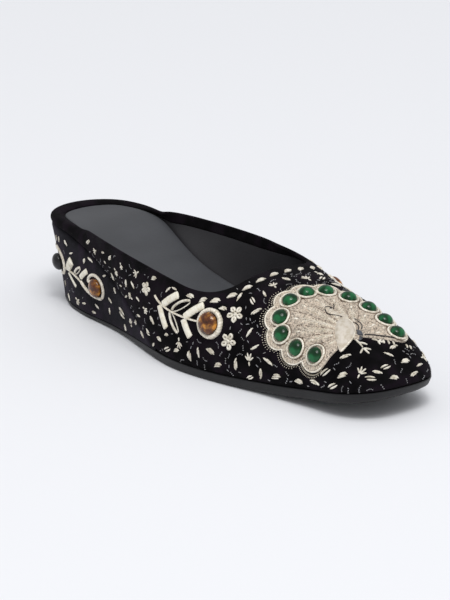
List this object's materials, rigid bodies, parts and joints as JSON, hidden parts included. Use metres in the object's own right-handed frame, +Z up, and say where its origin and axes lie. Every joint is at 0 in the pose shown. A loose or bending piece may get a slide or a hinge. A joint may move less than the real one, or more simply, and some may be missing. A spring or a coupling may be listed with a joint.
{
  "type": "wedge mule",
  "caption": "Women's slip-on velvet wedge mule for the right foot, with a closed rounded toe, low open back, raised embroidery and domed stones on a leather sock and sole.",
  "frame": {"origin": "bottom centre of the shoe's box, on the floor under the middle of the shoe", "axes": "+Z up, toe toward -Y, heel toward +Y, the foot's outer side toward -X"},
  "size_m": [0.086, 0.2694, 0.0494],
  "materials": {
    "velvet": "deep matt pile, black with a faint violet bloom",
    "sole_leather": "smooth, dull dark grey",
    "sock_leather": "matt grey, fine grain",
    "green_stone": "polished deep green dome",
    "brown_stone": "polished banded brown and gold dome",
    "dark_bead": "smooth dark grey dome",
    "metal_thread": "couched champagne and ivory metal-wrapped thread"
  },
  "bodies": {
    "root": {"outsole": "sole_leather", "wedge": "velvet", "upper": "velvet", "insole": "sock_leather", "green_stone_01": "green_stone", "green_stone_02": "green_stone", "green_stone_03": "green_stone", "green_stone_04": "green_stone", "green_stone_05": "green_stone", "green_stone_06": "green_stone", "green_stone_07": "green_stone", "green_stone_08": "green_stone", "green_stone_09": "green_stone", "green_stone_10": "green_stone", "green_stone_11": "green_stone", "amber_fore_outer": "brown_stone", "amber_fore_inner": "brown_stone", "amber_heel_outer": "brown_stone", "amber_heel_inner": "brown_stone", "bead_heel_outer": "dark_bead", "bead_heel_inner": "dark_bead"}
  },
  "joints": []
}
